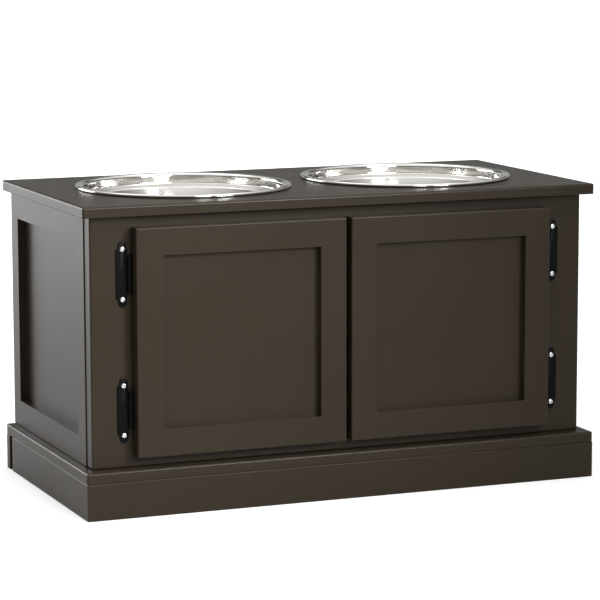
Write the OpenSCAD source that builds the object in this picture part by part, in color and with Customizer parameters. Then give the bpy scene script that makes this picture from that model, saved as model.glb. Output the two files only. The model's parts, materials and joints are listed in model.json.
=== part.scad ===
// Raised feeding cupboard: two lift-out bowls over a cupboard with two overlay doors.
// Millimetres. +X is to the right seen from the front, +Y to the back, +Z up.
// The origin is on the floor under the middle of the plinth.
// Everything on the right is the mirror of the left.

/* [Overall] */
// Width of the top board and of the plinth
overall_w = 600; // [590:1:640]
// Depth of the plinth, whose front is flush with the closed doors
overall_d = 304; // [300:1:330]
// Depth of the top board, whose back is flush with the plinth's
top_d = 300; // [292:1:300]
// Height of the top board's surface
surface_z = 334; // [330:1:380]
// Height of the plinth with the base board on it
plinth_h = 52; // [48:1:60]
// Thickness of the top board, the base board and the plinth boards
board_t = 12; // [11:0.5:14]
// Radius on the upper arrises of the top board and the base board
board_arris = 2.5; // [1:0.25:3]
// Radius on the arrises of the plinth boards and under the base board
plinth_arris = 1; // [0.5:0.25:1.5]

/* [Cupboard] */
// How far the top board stands out past each side
side_overhang = 10; // [6:1:16]
// Thickness of the face frame
face_t = 18; // [16:0.5:20]
// How far the face frame's ends stand in from the faces of the sides
face_set_in = 1; // [0:0.25:2]
// Radius on the face frame's arrises
face_arris = 2; // [1:0.25:3]
// Width of the face frame's outer stiles, measured from the faces of the sides
face_stile_w = 60; // [56:1:70]
// Width of the face frame's centre stile
centre_stile_w = 30; // [24:1:36]
// Height of the face frame's rails
face_rail_h = 24; // [22:1:30]
// Width of the side frames' stiles
side_stile_w = 25; // [24:1:40]
// Height of the side frames' rails
side_rail_h = 30; // [28:1:40]
// Thickness of the back panel
back_t = 4; // [3:0.5:5]

/* [Doors] */
// Thickness of the door and side frames
frame_t = 15; // [14:0.5:16]
// Width of the stiles and rails of a door
door_rail_w = 30; // [28:1:40]
// How far a door's sunk panel lies behind its face, as a side's does
recess_d = 9; // [6:0.5:9]
// How far a door laps over the face frame at its hinges
hinge_lap = 13; // [12:0.5:14]
// How far a door laps over the face frame's rails
rail_lap = 12; // [10:0.5:14]
// Gap between the two doors
meeting_gap = 6; // [4:0.5:8]
// Gap between a closed door's back and the face frame
door_gap = 2; // [1.9:0.1:2.4]
// Radius on the arrises of a door
door_arris = 1.5; // [0.75:0.25:2]

/* [Bowls] */
// Radius over the bowl's rolled rim
rim_r = 120; // [114:1:122]
// Diameter of the rolled rim's bead
bead_d = 4; // [3:0.25:5]
// Depth of the bowl under the top board's surface
bowl_depth = 72; // [60:1:80]
// Distance between the middles of the two bowls
bowl_pitch = 270; // [262:1:276]
// Thickness of the steel
bowl_t = 1; // [0.8:0.1:1.5]

/* [Hinges] */
// Height of a hinge
hinge_h = 70; // [66:1:76]
// Distance from a door's top or bottom edge to the middle of its hinge
hinge_inset = 50; // [46:1:70]
// Radius of the barrel
barrel_r = 2.5; // [2.3:0.1:2.6]
// Length of the barrel
barrel_h = 38; // [34:1:42]
// Radius of the pin
pin_r = 1.2; // [1:0.1:1.3]

/* [Hidden] */
$fn = 48;

PAINT = [0.13, 0.09, 0.07];
STEEL = [0.80, 0.80, 0.82];
BLACK = [0.07, 0.07, 0.08];
ZINC = [0.72, 0.73, 0.75];
BARE_WOOD = [0.62, 0.48, 0.33];
PLASTIC = [0.10, 0.08, 0.07];

// A cutter runs this far past the face that it opens.
past = 1;
// A screw's hole is this much larger than its shank.
hole_ease = 0.02;

// Planes of the cupboard
front_y = -overall_d / 2;
back_y = overall_d / 2;
top_front_y = back_y - top_d;
top_under_z = surface_z - board_t;
face_front_y = front_y + frame_t + door_gap;
face_back_y = face_front_y + face_t;
door_back_y = front_y + frame_t;
side_x = overall_w / 2 - side_overhang;
side_inner_x = side_x - frame_t;
carcass_h = top_under_z - plinth_h;

// The face frame's two openings
opening_outer_x = side_x - face_stile_w;
opening_inner_x = centre_stile_w / 2;
opening_low_z = plinth_h + face_rail_h;
opening_high_z = top_under_z - face_rail_h;
tenon_t = 6;
tenon_l = 12;
tenon_side = 4;

// Frame-and-panel joinery
panel_t = 4;
groove_d = 8;
panel_ease = 0.5;
side_arris = 1;

// Doors
door_x = opening_outer_x + hinge_lap;
door_w = door_x - meeting_gap / 2;
door_low_z = opening_low_z - rail_lap;
door_h = opening_high_z - opening_low_z + 2 * rail_lap;

// Sides
side_len = back_y - face_back_y;

// Back panel, sunk a little so that its nail heads stay inside the footprint
back_sink = 1;
back_rebate_w = 8;
back_groove_d = 3;
back_face_y = back_y - back_sink;
back_half_w = side_inner_x + back_rebate_w;

// Plinth. Its side boards stop short of the back board.
plinth_board_h = plinth_h - board_t;
rear_slot = 10;
glue_block = 20;
glue_block_clear = 4;
glue_block_h = plinth_board_h - glue_block_clear;
rear_block_inset = 14;
rear_block_x = overall_w / 2 - board_t - rear_block_inset;

// Bowls. The rim's bead stands on the top board. The wall drops straight through the hole, steps in
// at a shoulder near the board's underside, tapers to the base and turns in at the heel.
// Radii of bends are those of the outside face.
bowl_y = (top_front_y + back_y) / 2;
seat_gap = 0.05;
bead_r = bead_d / 2;
bead_z = surface_z + seat_gap + bead_r;
bead_in_r = rim_r - bead_r;
flange_drop = 0.2;
flange_z = bead_z + bead_r - flange_drop;
rim_lap = 7;
hole_r = rim_r - rim_lap;
wall_clear = 1.5;
wall_r = hole_r - wall_clear;
lip_bend = 2.5;
lip_c = [wall_r + lip_bend, flange_z - bowl_t - lip_bend];
shoulder_bend = 3;
shoulder_tilt = 20;
shoulder_run = 7;
shoulder_down = 6.5;
shoulder_c = [wall_r - shoulder_bend, surface_z - shoulder_down];
step_bend = 1.3;
step_dir = [cos(shoulder_tilt - 90), sin(shoulder_tilt - 90)];
step_c = shoulder_c + (shoulder_bend + step_bend) * step_dir
    - shoulder_run * [cos(shoulder_tilt), sin(shoulder_tilt)];
taper_a = 18;
heel_bend = 8;
base_z = surface_z - bowl_depth;
heel_z = base_z + heel_bend;
heel_drop = step_c[1] - heel_z + (step_bend + heel_bend) * sin(taper_a);
heel_c = [step_c[0] - (step_bend + heel_bend) * cos(taper_a) - heel_drop * tan(taper_a), heel_z];
base_ring_w = 12;
base_ring_r = heel_c[0] - base_ring_w;
base_rise = 1;

// Hinges. The axis lies in front of the face frame, just outside the door's edge.
axis_gap = 3.3;
axis_x = door_x + axis_gap;
axis_stand = 3.6;
axis_y = face_front_y - axis_stand;
frame_leaf_t = 1.6;
door_leaf_t = 1.5;
hinge_z = [door_low_z + hinge_inset, door_low_z + door_h - hinge_inset];
frame_leaf_w = 14.2;
ear_x = 7.2;
ear_r = 4.5;
ear_screw_z = 26.8;
leaf_shoulder_z = 27.4;
door_knuckle_z = 9.7;
knuckle_ease = 0.3;
running_fit = 0.05;
pin_head_r = 2.1;
pin_head_h = 0.7;
pin_dome_r = pin_r - 0.3;
pin_dome_h = 1;
door_leaf_w = 26;
door_leaf_half_h = 28;
door_screw_x = 19;
door_screw_z = 18;

// Screws and nails
pan_r = 3;
pan_top_r = 1.9;
pan_h = 1.8;
pan_dome_h = 0.8;
pan_shank_r = 1.5;
pan_len = 12;
small_csk_r = 3.2;
small_shank_r = 1.4;
small_csk_len = 10;
csk_r = 3.8;
csk_shank_r = 1.9;
csk_len = 25;
nail_head_r = 2.4;
nail_head_h = 0.7;
nail_r = 0.9;
nail_len = 14;
cross_w = 1;
cross_depth = 1.1;
pan_cross = 3.6;
small_cross = 3.4;
long_cross = 4.2;

// Battens under the top board
batten = 18;
batten_gap = 4;
batten_clear_y = face_back_y + batten_gap;

// Magnetic catch, under the face frame's top rail, and its strike plate on the door
catch_x = 50;
catch_w = 46;
catch_body_w = 26;
catch_d = 13;
catch_h = 12;
catch_ear_t = 2.4;
catch_ear_d = 10;
catch_ear_y = face_front_y + 2;
catch_screw_x = 18;
magnet_w = 20;
magnet_depth = catch_d - 2;
pole_t = 1.2;
pole_proud = 0.5;
magnet_stack_h = 7;
strike_w = 32;
strike_h = 12;
strike_t = 1.2;
strike_z = opening_high_z - catch_h / 2;

// Where the screws go. Each list holds points on the left and, where stated, the right.
side_rail_mid_x = side_x - frame_t / 2;
base_screw_inset = 50;
base_screw_y = [face_back_y + base_screw_inset, back_y - base_screw_inset];
base_screw_x = [120, opening_outer_x + face_stile_w / 2];
base_screw_xy = concat(
    [for (s = [-1, 1], y = base_screw_y) [s * side_rail_mid_x, y]],
    [for (s = [-1, 1], x = base_screw_x) [s * x, face_front_y + face_t / 2]]
);
batten_x = side_inner_x - batten / 2;
batten_y = back_face_y - back_t - batten / 2;
top_screw_xy = concat(
    [for (s = [-1, 1], y = [-70, 80]) [s * batten_x, y]],
    [for (x = [-bowl_pitch / 2, 0, bowl_pitch / 2]) [x, batten_y]]
);
batten_screw_y = [-30, 110];
nail_inset = 25;
nail_side_z = [for (i = [0 : 3]) plinth_h + nail_inset + i * (carcass_h - 2 * nail_inset) / 3];
nail_top_x = [for (s = [-1, 1], x = [70, 200]) s * x];

// ---------------------------------------------------------------- shared shapes

// Rectangle w by h, its lower left corner at the origin and its two lower corners rounded
module half_soft_outline(w, h, r) {
    translate([r, 0]) square([w - 2 * r, h]);
    translate([0, r]) square([w, h - r]);
    for (x = [r, w - r]) translate([x, r]) circle(r);
}

// Rectangle w by h with rounded corners, the lower two of which may have a radius of their own
module soft_outline(w, h, r, low_r) {
    half_soft_outline(w, h / 2, is_undef(low_r) ? r : low_r);
    translate([0, h]) mirror([0, 1]) half_soft_outline(w, h / 2, r);
}

// Board with every arris rounded
module soft_board(x, y, z, r, low_r) {
    intersection() {
        linear_extrude(z) soft_outline(x, y, r);
        translate([0, y, 0]) rotate([90, 0, 0]) linear_extrude(y) soft_outline(x, z, r, low_r);
        rotate([90, 0, 90]) linear_extrude(x) soft_outline(y, z, r, low_r);
    }
}

// Countersunk screw or its hole: head flush with z = 0, shank down
module countersunk(head_r, shank_r, len, ease = 0) {
    head_h = head_r - shank_r;
    translate([0, 0, -head_h]) cylinder(r1 = shank_r + ease, r2 = head_r + ease, h = head_h);
    translate([0, 0, -len]) cylinder(r = shank_r + ease, h = len);
}

// Cross recess in a screw head whose top is at z = 0
module cross_recess(span) {
    for (a = [0, 90])
        rotate(a)
            translate([-span / 2, -cross_w / 2, -cross_depth]) cube([span, cross_w, cross_depth + past]);
}

// Screw with a domed head that stands on z = 0, shank down
module pan_screw() {
    difference() {
        union() {
            cylinder(r = pan_r, h = pan_h - pan_dome_h);
            translate([0, 0, pan_h - pan_dome_h]) cylinder(r1 = pan_r, r2 = pan_top_r, h = pan_dome_h);
            translate([0, 0, -pan_len]) cylinder(r = pan_shank_r, h = pan_len);
        }
        translate([0, 0, pan_h]) cross_recess(pan_cross);
    }
}

module pan_hole()
    translate([0, 0, -pan_len - past]) cylinder(r = pan_shank_r + hole_ease, h = pan_len + 2 * past);

module small_screw() {
    difference() {
        countersunk(small_csk_r, small_shank_r, small_csk_len);
        cross_recess(small_cross);
    }
}

module small_hole() {
    countersunk(small_csk_r, small_shank_r, small_csk_len + past, hole_ease);
    cylinder(r = small_csk_r + hole_ease, h = past);
}

module long_screw() {
    difference() {
        countersunk(csk_r, csk_shank_r, csk_len);
        cross_recess(long_cross);
    }
}

module long_hole() {
    countersunk(csk_r, csk_shank_r, csk_len + past, hole_ease);
    cylinder(r = csk_r + hole_ease, h = past);
}

module on_both_sides() {
    children();
    mirror([1, 0, 0]) children();
}

// ---------------------------------------------------------------- fastener places

module at_base_screws()
    for (p = base_screw_xy) translate([p[0], p[1], plinth_board_h]) rotate([180, 0, 0]) children();

module at_top_screws()
    for (p = top_screw_xy) translate([p[0], p[1], top_under_z - batten]) rotate([180, 0, 0]) children();

module at_left_batten_screws()
    for (y = batten_screw_y)
        translate([-side_inner_x + batten, y, top_under_z - batten / 2]) rotate([0, 90, 0]) children();

module at_back_nails() {
    for (s = [-1, 1], z = nail_side_z)
        translate([s * (side_inner_x + back_rebate_w / 2), back_face_y, z]) rotate([-90, 0, 0]) children();
    for (x = nail_top_x)
        translate([x, back_face_y, top_under_z - batten / 2]) rotate([-90, 0, 0]) children();
}

module at_left_hinges() for (z = hinge_z) translate([-axis_x, axis_y, z]) children();

module at_left_frame_hinge_screws()
    at_left_hinges()
        for (s = [-1, 1])
            translate([-ear_x, axis_stand - frame_leaf_t, s * ear_screw_z]) rotate([90, 0, 0]) children();

module at_left_door_hinge_screws()
    at_left_hinges()
        for (s = [-1, 1])
            translate([door_screw_x, door_leaf_back(), s * door_screw_z]) rotate([-90, 0, 0]) children();

module at_left_catch_screws()
    for (s = [-1, 1])
        translate([-catch_x + s * catch_screw_x, catch_ear_y + catch_ear_d / 2, opening_high_z - catch_ear_t])
            rotate([180, 0, 0]) children();

module at_left_strike_screw()
    translate([-catch_x, door_back_y + strike_t, strike_z]) rotate([-90, 0, 0]) children();

// Back of the door leaf, measured from the hinge's axis
function door_leaf_back() = door_back_y - axis_y + door_leaf_t;

// ---------------------------------------------------------------- top, base and plinth

module top_board() color(PAINT)
    difference() {
        translate([-overall_w / 2, top_front_y, top_under_z])
            soft_board(overall_w, top_d, board_t, board_arris, plinth_arris);
        for (s = [-1, 1])
            translate([s * bowl_pitch / 2, bowl_y, top_under_z - past])
                cylinder(r = hole_r, h = board_t + 2 * past, $fn = 96);
        at_top_screws() long_hole();
    }

module base_board() color(PAINT)
    difference() {
        translate([-overall_w / 2, front_y, plinth_board_h])
            soft_board(overall_w, overall_d, board_t, board_arris, plinth_arris);
        translate([-back_half_w, back_face_y - back_t, plinth_h - back_groove_d])
            cube([2 * back_half_w, back_t, back_groove_d + past]);
        at_base_screws() long_hole();
    }

// The plinth's boards in one piece, before they are parted
module plinth_form()
    difference() {
        translate([-overall_w / 2, front_y, 0])
            soft_board(overall_w, overall_d, plinth_board_h, plinth_arris);
        translate([-overall_w / 2 + board_t, front_y + board_t, -past])
            cube([overall_w - 2 * board_t, overall_d - 2 * board_t, plinth_board_h + 2 * past]);
    }

// The front board meets the side boards in mitres.
module plinth_front_board() color(PAINT)
    intersection() {
        plinth_form();
        translate([0, front_y, 0])
            linear_extrude(plinth_board_h)
                polygon([
                    [-overall_w / 2, 0], [overall_w / 2, 0],
                    [overall_w / 2 - board_t, board_t], [-overall_w / 2 + board_t, board_t]
                ]);
    }

module plinth_left_board() color(PAINT)
    intersection() {
        plinth_form();
        translate([-overall_w / 2, front_y, 0])
            linear_extrude(plinth_board_h)
                polygon([
                    [0, 0], [board_t, board_t],
                    [board_t, overall_d - board_t - rear_slot], [0, overall_d - board_t - rear_slot]
                ]);
    }

module plinth_back_board() color(PAINT)
    translate([-overall_w / 2, back_y - board_t, 0])
        soft_board(overall_w, board_t, plinth_board_h, plinth_arris);

// Blocks inside the plinth, under the base board
module plinth_glue_blocks() color(BARE_WOOD)
    on_both_sides() {
        translate([-overall_w / 2 + board_t, front_y + board_t, plinth_board_h - glue_block_h])
            cube([glue_block, glue_block, glue_block_h]);
        translate([-rear_block_x, back_y - board_t - glue_block, plinth_board_h - glue_block_h])
            cube([glue_block, glue_block, glue_block_h]);
    }

// ---------------------------------------------------------------- face frame

// The whole face frame in one piece, before it is parted into stiles and rails
module face_form() {
    difference() {
        translate([-side_x + face_set_in, face_front_y, plinth_h])
            soft_board(2 * (side_x - face_set_in), face_t, carcass_h, face_arris);
        on_both_sides()
            translate([-opening_outer_x, face_front_y - past, opening_low_z])
                cube([opening_outer_x - opening_inner_x, face_t + 2 * past, opening_high_z - opening_low_z]);
    }
}

module face_tenon_across(z) {
    mid_y = face_front_y + face_t / 2;
    translate([-opening_outer_x - tenon_l, mid_y - tenon_t / 2, z + tenon_side])
        cube([2 * (opening_outer_x + tenon_l), tenon_t, face_rail_h - 2 * tenon_side]);
}

module face_tenon_upright() {
    mid_y = face_front_y + face_t / 2;
    translate([-opening_inner_x + tenon_side, mid_y - tenon_t / 2, opening_low_z - tenon_l])
        cube([centre_stile_w - 2 * tenon_side, tenon_t, opening_high_z - opening_low_z + 2 * tenon_l]);
}

module face_left_stile() color(PAINT)
    difference() {
        intersection() {
            face_form();
            translate([-side_x - past, face_front_y - past, 0])
                cube([face_stile_w + past, face_t + 2 * past, surface_z]);
        }
        for (z = [plinth_h, opening_high_z]) face_tenon_across(z);
        at_left_frame_hinge_screws() pan_hole();
        at_base_screws() long_hole();
    }

module face_rail(z) color(PAINT)
    difference() {
        union() {
            intersection() {
                face_form();
                translate([-opening_outer_x, face_front_y - past, z])
                    cube([2 * opening_outer_x, face_t + 2 * past, face_rail_h]);
            }
            face_tenon_across(z);
        }
        face_tenon_upright();
        on_both_sides() at_left_catch_screws() pan_hole();
        at_base_screws() long_hole();
    }

module face_centre_stile() color(PAINT)
    union() {
        intersection() {
            face_form();
            translate([-opening_inner_x, face_front_y - past, opening_low_z])
                cube([centre_stile_w, face_t + 2 * past, opening_high_z - opening_low_z]);
        }
        face_tenon_upright();
    }

// ---------------------------------------------------------------- frame-and-panel joinery
// Local axes: x across, y up, z from the back of the frame to its face.

module joinery_form(w, h, stile, rail, arris) {
    difference() {
        soft_board(w, h, frame_t, arris);
        translate([stile, rail, -past]) cube([w - 2 * stile, h - 2 * rail, frame_t + 2 * past]);
    }
}

// Slab in the plane of the panel: grooves, tenons and the panel are all cut from it
module joinery_layer(x, y, w, h) translate([x, y, frame_t - recess_d - panel_t]) cube([w, h, panel_t]);

// The stile at x = 0, with its groove open at both ends for the rails' tenons
module joinery_stile(w, h, stile, rail, arris)
    difference() {
        intersection() {
            joinery_form(w, h, stile, rail, arris);
            cube([stile, h, frame_t]);
        }
        joinery_layer(stile - groove_d, -past, groove_d + past, h + 2 * past);
    }

// The rail at y = 0, with a tenon at each end and the panel's groove along its inner edge
module joinery_rail(w, h, stile, rail, arris)
    difference() {
        union() {
            intersection() {
                joinery_form(w, h, stile, rail, arris);
                translate([stile, 0, 0]) cube([w - 2 * stile, rail, frame_t]);
            }
            joinery_layer(stile - groove_d, 0, w - 2 * (stile - groove_d), rail);
        }
        joinery_layer(0, rail - groove_d, w, groove_d + past);
    }

module joinery_panel(w, h, stile, rail) {
    lap = groove_d - panel_ease;
    joinery_layer(stile - lap, rail - lap, w - 2 * (stile - lap), h - 2 * (rail - lap));
}

// ---------------------------------------------------------------- sides and back

// Local x runs from the back of the cupboard to the face frame.
module on_left_side() translate([-side_inner_x, back_y, plinth_h]) rotate([90, 0, -90]) children();

module left_side_rear_stile() color(PAINT)
    difference() {
        on_left_side() joinery_stile(side_len, carcass_h, side_stile_w, side_rail_h, side_arris);
        translate([-back_half_w, back_face_y - back_t, 0]) cube([back_half_w, overall_d, surface_z]);
        at_back_nails() nail_hole();
    }

module left_side_front_stile() color(PAINT)
    on_left_side()
        translate([side_len, 0, 0]) mirror([1, 0, 0])
            joinery_stile(side_len, carcass_h, side_stile_w, side_rail_h, side_arris);

module left_side_bottom_rail() color(PAINT)
    difference() {
        on_left_side() joinery_rail(side_len, carcass_h, side_stile_w, side_rail_h, side_arris);
        at_base_screws() long_hole();
    }

module left_side_top_rail() color(PAINT)
    difference() {
        on_left_side()
            translate([0, carcass_h, 0]) mirror([0, 1, 0])
                joinery_rail(side_len, carcass_h, side_stile_w, side_rail_h, side_arris);
        at_left_batten_screws() long_hole();
    }

module left_side_panel() color(PAINT)
    on_left_side() joinery_panel(side_len, carcass_h, side_stile_w, side_rail_h);

module nail() {
    cylinder(r = nail_head_r, h = nail_head_h);
    translate([0, 0, -nail_len]) cylinder(r = nail_r, h = nail_len);
}

module nail_hole()
    translate([0, 0, -nail_len - past]) cylinder(r = nail_r + hole_ease, h = nail_len + 2 * past);

module back_panel() color(PAINT)
    difference() {
        translate([-back_half_w, back_face_y - back_t, plinth_h - back_groove_d])
            cube([2 * back_half_w, back_t, carcass_h + back_groove_d]);
        at_back_nails() nail_hole();
    }

module left_batten() color(BARE_WOOD)
    difference() {
        translate([-side_inner_x, batten_clear_y, top_under_z - batten])
            cube([batten, batten_y - batten / 2 - batten_clear_y, batten]);
        at_top_screws() long_hole();
        at_left_batten_screws() long_hole();
    }

module back_batten() color(BARE_WOOD)
    difference() {
        translate([-side_inner_x, batten_y - batten / 2, top_under_z - batten])
            cube([2 * side_inner_x, batten, batten]);
        at_top_screws() long_hole();
        at_back_nails() nail_hole();
    }

// ---------------------------------------------------------------- doors

module on_left_door() translate([-door_x, door_back_y, door_low_z]) rotate([90, 0, 0]) children();

module left_door_hinge_stile() color(PAINT)
    difference() {
        on_left_door() joinery_stile(door_w, door_h, door_rail_w, door_rail_w, door_arris);
        at_left_door_hinge_screws() small_hole();
    }

module left_door_meeting_stile() color(PAINT)
    on_left_door()
        translate([door_w, 0, 0]) mirror([1, 0, 0])
            joinery_stile(door_w, door_h, door_rail_w, door_rail_w, door_arris);

module left_door_bottom_rail() color(PAINT)
    on_left_door() joinery_rail(door_w, door_h, door_rail_w, door_rail_w, door_arris);

module left_door_top_rail() color(PAINT)
    difference() {
        on_left_door()
            translate([0, door_h, 0]) mirror([0, 1, 0])
                joinery_rail(door_w, door_h, door_rail_w, door_rail_w, door_arris);
        at_left_strike_screw() small_hole();
    }

module left_door_panel() color(PAINT) on_left_door() joinery_panel(door_w, door_h, door_rail_w, door_rail_w);

// ---------------------------------------------------------------- bowls

// Points along a bend round centre c, from angle from to angle to
function bend(c, r, from, to) =
    let (steps = ceil(abs(to - from) / 10))
    [for (i = [0 : steps]) let (a = from + (to - from) * i / steps) c + r * [cos(a), sin(a)]];

// Section of one face of the wall, rim to middle, t deep in the steel: 0 is the inside face
function wall_face(t) = concat(
    [[bead_in_r, flange_z - t]],
    bend(lip_c, lip_bend + bowl_t - t, 90, 180),
    bend(shoulder_c, shoulder_bend - bowl_t + t, 0, shoulder_tilt - 90),
    bend(step_c, step_bend + bowl_t - t, shoulder_tilt + 90, 180 - taper_a),
    bend(heel_c, heel_bend - bowl_t + t, -taper_a, -90),
    [
        [base_ring_r, base_z + bowl_t - t],
        [base_ring_r - base_rise, base_z + base_rise + bowl_t - t],
        [0, base_z + base_rise + bowl_t - t]
    ]
);

function reversed(list) = [for (i = [len(list) - 1 : -1 : 0]) list[i]];

module bowl(x) color(STEEL)
    translate([x, bowl_y, 0])
        rotate_extrude($fn = 96) {
            translate([bead_in_r, bead_z]) circle(bead_r, $fn = 32);
            polygon(concat(wall_face(0), reversed(wall_face(bowl_t))));
        }

module bowl_left() bowl(-bowl_pitch / 2);
module bowl_right() bowl(bowl_pitch / 2);

// ---------------------------------------------------------------- hinges
// Local origin on the axis at mid height; the frame leaf lies towards -x, the door leaf towards +x.

module frame_leaf_outline()
    difference() {
        union() {
            translate([-frame_leaf_w, -leaf_shoulder_z]) soft_outline(frame_leaf_w, 2 * leaf_shoulder_z, 2.5);
            translate([-ear_x - ear_r, -hinge_h / 2 + ear_r]) square([2 * ear_r, hinge_h - 2 * ear_r]);
            for (s = [-1, 1]) translate([-ear_x, s * (hinge_h / 2 - ear_r)]) circle(ear_r);
        }
        // room for the door's knuckle to turn, and a clear edge beyond the barrel
        translate([-barrel_r - 2 * knuckle_ease, -door_knuckle_z - knuckle_ease])
            square([barrel_r + 2 * knuckle_ease + past, 2 * (door_knuckle_z + knuckle_ease)]);
        for (s = [-1, 1])
            translate([-2, s > 0 ? barrel_h / 2 : -leaf_shoulder_z - past])
                square([2 + past, leaf_shoulder_z + past - barrel_h / 2]);
    }

module hinge_frame_leaf() color(BLACK)
    difference() {
        union() {
            translate([0, axis_stand, 0]) rotate([90, 0, 0])
                linear_extrude(frame_leaf_t) frame_leaf_outline();
            for (s = [-1, 1])
                translate([0, 0, s > 0 ? door_knuckle_z + knuckle_ease : -barrel_h / 2])
                    cylinder(r = barrel_r, h = barrel_h / 2 - door_knuckle_z - knuckle_ease);
        }
        cylinder(r = pin_r + hole_ease, h = barrel_h + past, center = true);
        for (s = [-1, 1])
            translate([-ear_x, 0, s * ear_screw_z]) rotate([-90, 0, 0])
                cylinder(r = pan_shank_r + hole_ease, h = axis_stand + past);
    }

module hinge_door_leaf() color(BLACK)
    difference() {
        union() {
            cylinder(r = barrel_r, h = 2 * door_knuckle_z, center = true);
            translate([0, door_leaf_back(), 0]) rotate([90, 0, 0]) linear_extrude(door_leaf_t) {
                translate([0, -door_knuckle_z]) square([axis_gap + 1, 2 * door_knuckle_z]);
                translate([axis_gap, -door_leaf_half_h])
                    soft_outline(door_leaf_w - axis_gap, 2 * door_leaf_half_h, 3);
            }
        }
        cylinder(r = pin_r + running_fit, h = barrel_h, center = true);
        for (s = [-1, 1])
            translate([door_screw_x, door_leaf_back(), s * door_screw_z]) rotate([-90, 0, 0]) small_hole();
    }

module hinge_pin() color(BLACK) {
    cylinder(r = pin_r, h = barrel_h, center = true);
    for (s = [0, 180])
        rotate([s, 0, 0]) translate([0, 0, barrel_h / 2]) {
            cylinder(r = pin_head_r, h = pin_head_h);
            translate([0, 0, pin_head_h]) cylinder(r1 = pin_head_r, r2 = pin_dome_r, h = pin_dome_h);
        }
}

module at_hinge(z) translate([-axis_x, axis_y, z]) children();

module left_hinge_part(part, level) at_hinge(hinge_z[level]) {
    if (part == "frame_leaf") hinge_frame_leaf();
    if (part == "door_leaf") hinge_door_leaf();
    if (part == "pin") hinge_pin();
}

module right_hinge_part(part, level) mirror([1, 0, 0]) left_hinge_part(part, level);

// ---------------------------------------------------------------- catches

module left_catch_housing() color(PLASTIC)
    difference() {
        union() {
            translate([-catch_x - catch_body_w / 2, face_front_y, opening_high_z - catch_h])
                cube([catch_body_w, catch_d, catch_h]);
            translate([-catch_x - catch_w / 2, catch_ear_y, opening_high_z - catch_ear_t])
                cube([catch_w, catch_ear_d, catch_ear_t]);
        }
        left_magnet_space();
        at_left_catch_screws() pan_hole();
    }

module left_magnet_space()
    translate([-catch_x - magnet_w / 2, face_front_y - past, strike_z - magnet_stack_h / 2])
        cube([magnet_w, magnet_depth + past, magnet_stack_h]);

// A block magnet between two steel pole plates, which stand a little proud of the housing
module left_magnet() {
    low = strike_z - magnet_stack_h / 2;
    for (z = [low, low + magnet_stack_h - pole_t])
        translate([-catch_x - magnet_w / 2, face_front_y - pole_proud, z])
            cube([magnet_w, magnet_depth + pole_proud, pole_t]);
    translate([-catch_x - magnet_w / 2, face_front_y, low + pole_t])
        cube([magnet_w, magnet_depth, magnet_stack_h - 2 * pole_t]);
}

module catch_magnets() color(ZINC) on_both_sides() left_magnet();

module left_strike_plate() color(ZINC)
    difference() {
        translate([-catch_x - strike_w / 2, door_back_y + strike_t, strike_z - strike_h / 2])
            rotate([90, 0, 0]) linear_extrude(strike_t) soft_outline(strike_w, strike_h, 2.5);
        at_left_strike_screw() small_hole();
    }

// ---------------------------------------------------------------- fasteners

module frame_pan_screws() color(STEEL)
    on_both_sides() {
        at_left_frame_hinge_screws() pan_screw();
        at_left_catch_screws() pan_screw();
    }

module left_door_screws() color(ZINC) {
    at_left_door_hinge_screws() small_screw();
    at_left_strike_screw() small_screw();
}

module cupboard_screws() color(ZINC) {
    at_base_screws() long_screw();
    at_top_screws() long_screw();
    on_both_sides() at_left_batten_screws() long_screw();
}

module back_panel_nails() color(ZINC) at_back_nails() nail();

// ---------------------------------------------------------------- nodes

module right() mirror([1, 0, 0]) children();

top_board();
bowl_left();
bowl_right();
base_board();
plinth_front_board();
plinth_back_board();
plinth_left_board();
right() plinth_left_board();  // plinth_right_board
plinth_glue_blocks();
face_left_stile();
right() face_left_stile();  // face_right_stile
face_centre_stile();
face_rail(opening_high_z);  // face_top_rail
face_rail(plinth_h);  // face_bottom_rail
left_side_front_stile();
left_side_rear_stile();
left_side_top_rail();
left_side_bottom_rail();
left_side_panel();
right() left_side_front_stile();  // right_side_front_stile
right() left_side_rear_stile();  // right_side_rear_stile
right() left_side_top_rail();  // right_side_top_rail
right() left_side_bottom_rail();  // right_side_bottom_rail
right() left_side_panel();  // right_side_panel
back_panel();
left_batten();
right() left_batten();  // right_batten
back_batten();
left_door_hinge_stile();
left_door_meeting_stile();
left_door_top_rail();
left_door_bottom_rail();
left_door_panel();
right() left_door_hinge_stile();  // right_door_hinge_stile
right() left_door_meeting_stile();  // right_door_meeting_stile
right() left_door_top_rail();  // right_door_top_rail
right() left_door_bottom_rail();  // right_door_bottom_rail
right() left_door_panel();  // right_door_panel
left_hinge_part("frame_leaf", 1);  // left_upper_hinge_frame_leaf
left_hinge_part("door_leaf", 1);  // left_upper_hinge_door_leaf
left_hinge_part("pin", 1);  // left_upper_hinge_pin
left_hinge_part("frame_leaf", 0);  // left_lower_hinge_frame_leaf
left_hinge_part("door_leaf", 0);  // left_lower_hinge_door_leaf
left_hinge_part("pin", 0);  // left_lower_hinge_pin
right_hinge_part("frame_leaf", 1);  // right_upper_hinge_frame_leaf
right_hinge_part("door_leaf", 1);  // right_upper_hinge_door_leaf
right_hinge_part("pin", 1);  // right_upper_hinge_pin
right_hinge_part("frame_leaf", 0);  // right_lower_hinge_frame_leaf
right_hinge_part("door_leaf", 0);  // right_lower_hinge_door_leaf
right_hinge_part("pin", 0);  // right_lower_hinge_pin
frame_pan_screws();
left_door_screws();
right() left_door_screws();  // right_door_screws
left_catch_housing();
right() left_catch_housing();  // right_catch_housing
catch_magnets();
left_strike_plate();
right() left_strike_plate();  // right_strike_plate
cupboard_screws();
back_panel_nails();
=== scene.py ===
"""Raised feeding cupboard: finishes, spun bowls, hinges, screws and the studio round them."""

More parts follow.
